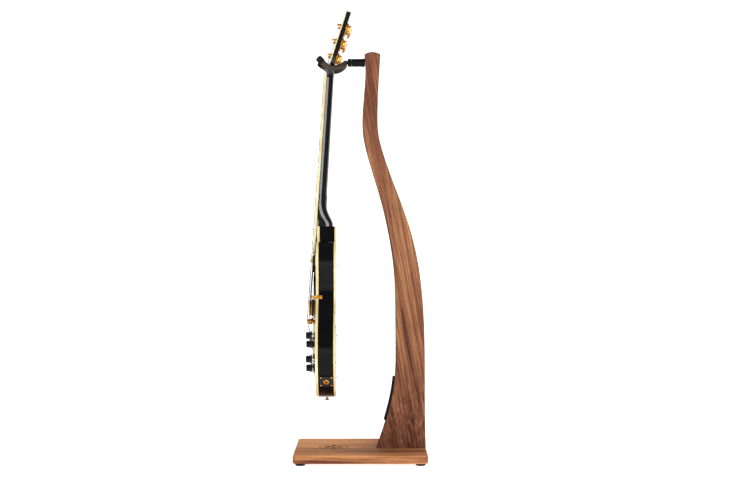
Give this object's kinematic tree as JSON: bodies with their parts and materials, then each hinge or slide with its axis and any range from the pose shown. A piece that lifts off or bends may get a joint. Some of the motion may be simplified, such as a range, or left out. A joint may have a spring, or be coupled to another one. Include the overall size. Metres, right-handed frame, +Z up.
{
  "type": "guitar on stand",
  "caption": "Single-cutaway electric guitar with gold hardware, hung by its headstock in the rubber-covered swivel yoke of a curved walnut floor stand.",
  "frame": {"origin": "centre of the base board's footprint, on the floor", "axes": "+Z up; the guitar faces -Y and the post stands at +Y; +X is the guitar's treble side"},
  "size_m": [0.329, 0.337, 1.1528],
  "materials": {
    "walnut": "oiled",
    "foot_rubber": "matte",
    "pad_rubber": "matte",
    "yoke_rubber": "matte",
    "zinc_steel": "satin",
    "black_metal": "satin",
    "black_lacquer": "gloss lacquer",
    "cream_binding": "gloss",
    "cream_plastic": "gloss",
    "black_plastic": "gloss",
    "knob_plastic": "gloss",
    "ebony": "satin",
    "nickel": "polished",
    "string_steel": "polished",
    "pearl": "gloss",
    "gold": "polished"
  },
  "bodies": {
    "stand": {"base_board": "walnut", "post": "walnut", "foot_pads": "foot_rubber", "base_fasteners": "zinc_steel", "threaded_inserts": "zinc_steel", "back_rest_pad": "pad_rubber", "hanger_rod": "zinc_steel", "hanger_sleeve": "black_metal"},
    "yoke": {"yoke_frame": "black_metal", "arm_covers": "yoke_rubber", "arm_end_caps": "foot_rubber"},
    "guitar": {"body_back": "black_lacquer", "body_top": "black_lacquer", "body_bindings": "cream_binding", "cavity_covers": "black_plastic", "body_screws": "gold", "neck": "black_lacquer", "fretboard": "ebony", "neck_bindings": "cream_binding", "frets": "nickel", "fret_inlays": "pearl", "nut": "cream_binding", "truss_rod": "zinc_steel", "truss_rod_cover": "black_plastic", "headstock_veneer": "black_lacquer", "pickup_rings": "black_plastic", "pickup_covers": "gold", "pickup_coils": "black_plastic", "pickup_screws": "gold", "bridge": "gold", "bridge_saddles": "gold", "bridge_and_tail_studs": "gold", "tailpiece": "gold", "pickguard": "black_plastic", "pickguard_bracket": "gold", "jack_plate": "black_plastic", "jack_socket": "gold", "strap_buttons": "gold", "potentiometers": "nickel", "toggle_switch": "gold", "tuner_housings": "gold", "tuner_bushings": "gold", "strings": "string_steel"},
    "neck_volume_knob": {"neck_volume_knob": "knob_plastic"},
    "bridge_volume_knob": {"bridge_volume_knob": "knob_plastic"},
    "neck_tone_knob": {"neck_tone_knob": "knob_plastic"},
    "bridge_tone_knob": {"bridge_tone_knob": "knob_plastic"},
    "toggle_lever": {"toggle_lever": "cream_plastic"},
    "tuner_key_1": {"tuner_key_1": "gold"},
    "string_post_1": {"string_post_1": "gold"},
    "tuner_key_2": {"tuner_key_2": "gold"},
    "string_post_2": {"string_post_2": "gold"},
    "tuner_key_3": {"tuner_key_3": "gold"},
    "string_post_3": {"string_post_3": "gold"},
    "tuner_key_4": {"tuner_key_4": "gold"},
    "string_post_4": {"string_post_4": "gold"},
    "tuner_key_5": {"tuner_key_5": "gold"},
    "string_post_5": {"string_post_5": "gold"},
    "tuner_key_6": {"tuner_key_6": "gold"},
    "string_post_6": {"string_post_6": "gold"}
  },
  "joints": [
    {"name": "yoke_swivel", "type": "hinge", "parent": "stand", "child": "yoke", "pos_m": [0, 0, 1.0204], "axis": [0, 1, 0], "range_deg": [-15, 15]},
    {"name": "guitar_lift_off", "type": "slide", "parent": "yoke", "child": "guitar", "axis": [0, -0.6, 0.8], "range_m": [0, 0.35]},
    {"name": "neck_volume_knob_turn", "type": "hinge", "parent": "guitar", "child": "neck_volume_knob", "pos_m": [0.072, -0.12, 0.298], "axis": [0, -1, 0], "range_deg": [-135, 135]},
    {"name": "bridge_volume_knob_turn", "type": "hinge", "parent": "guitar", "child": "bridge_volume_knob", "pos_m": [0.115, -0.12, 0.3226], "axis": [0, -1, 0], "range_deg": [-135, 135]},
    {"name": "neck_tone_knob_turn", "type": "hinge", "parent": "guitar", "child": "neck_tone_knob", "pos_m": [0.072, -0.12, 0.2376], "axis": [0, -1, 0], "range_deg": [-135, 135]},
    {"name": "bridge_tone_knob_turn", "type": "hinge", "parent": "guitar", "child": "bridge_tone_knob", "pos_m": [0.115, -0.12, 0.2635], "axis": [0, -1, 0], "range_deg": [-135, 135]},
    {"name": "toggle_switch_throw", "type": "hinge", "parent": "guitar", "child": "toggle_lever", "pos_m": [-0.085, -0.11298, 0.507], "axis": [1, 0, 0], "range_deg": [-12, 12]},
    {"name": "tuner_key_1_turn", "type": "hinge", "parent": "guitar", "child": "tuner_key_1", "pos_m": [-0.027, -0.05663, 1.02319], "axis": [-1, 0, 0], "continuous": true},
    {"name": "string_post_1_turn", "type": "hinge", "parent": "guitar", "child": "string_post_1", "pos_m": [-0.027, -0.07412, 1.03571], "axis": [0, -0.9511, 0.309], "continuous": true},
    {"name": "tuner_key_2_turn", "type": "hinge", "parent": "guitar", "child": "tuner_key_2", "pos_m": [-0.027, -0.04427, 1.06123], "axis": [-1, 0, 0], "continuous": true},
    {"name": "string_post_2_turn", "type": "hinge", "parent": "guitar", "child": "string_post_2", "pos_m": [-0.027, -0.06176, 1.07375], "axis": [0, -0.9511, 0.309], "continuous": true},
    {"name": "tuner_key_3_turn", "type": "hinge", "parent": "guitar", "child": "tuner_key_3", "pos_m": [-0.027, -0.03191, 1.09927], "axis": [-1, 0, 0], "continuous": true},
    {"name": "string_post_3_turn", "type": "hinge", "parent": "guitar", "child": "string_post_3", "pos_m": [-0.027, -0.0494, 1.11179], "axis": [0, -0.9511, 0.309], "continuous": true},
    {"name": "tuner_key_4_turn", "type": "hinge", "parent": "guitar", "child": "tuner_key_4", "pos_m": [0.027, -0.05663, 1.02319], "axis": [1, 0, 0], "continuous": true},
    {"name": "string_post_4_turn", "type": "hinge", "parent": "guitar", "child": "string_post_4", "pos_m": [0.027, -0.07412, 1.03571], "axis": [0, -0.9511, 0.309], "continuous": true},
    {"name": "tuner_key_5_turn", "type": "hinge", "parent": "guitar", "child": "tuner_key_5", "pos_m": [0.027, -0.04427, 1.06123], "axis": [1, 0, 0], "continuous": true},
    {"name": "string_post_5_turn", "type": "hinge", "parent": "guitar", "child": "string_post_5", "pos_m": [0.027, -0.06176, 1.07375], "axis": [0, -0.9511, 0.309], "continuous": true},
    {"name": "tuner_key_6_turn", "type": "hinge", "parent": "guitar", "child": "tuner_key_6", "pos_m": [0.027, -0.03191, 1.09927], "axis": [1, 0, 0], "continuous": true},
    {"name": "string_post_6_turn", "type": "hinge", "parent": "guitar", "child": "string_post_6", "pos_m": [0.027, -0.0494, 1.11179], "axis": [0, -0.9511, 0.309], "continuous": true}
  ],
  "couplings": [
    {"joint": "string_post_1_turn", "follows": "tuner_key_1_turn", "ratio": 0.055556},
    {"joint": "string_post_2_turn", "follows": "tuner_key_2_turn", "ratio": 0.055556},
    {"joint": "string_post_3_turn", "follows": "tuner_key_3_turn", "ratio": 0.055556},
    {"joint": "string_post_4_turn", "follows": "tuner_key_4_turn", "ratio": -0.055556},
    {"joint": "string_post_5_turn", "follows": "tuner_key_5_turn", "ratio": -0.055556},
    {"joint": "string_post_6_turn", "follows": "tuner_key_6_turn", "ratio": -0.055556}
  ]
}
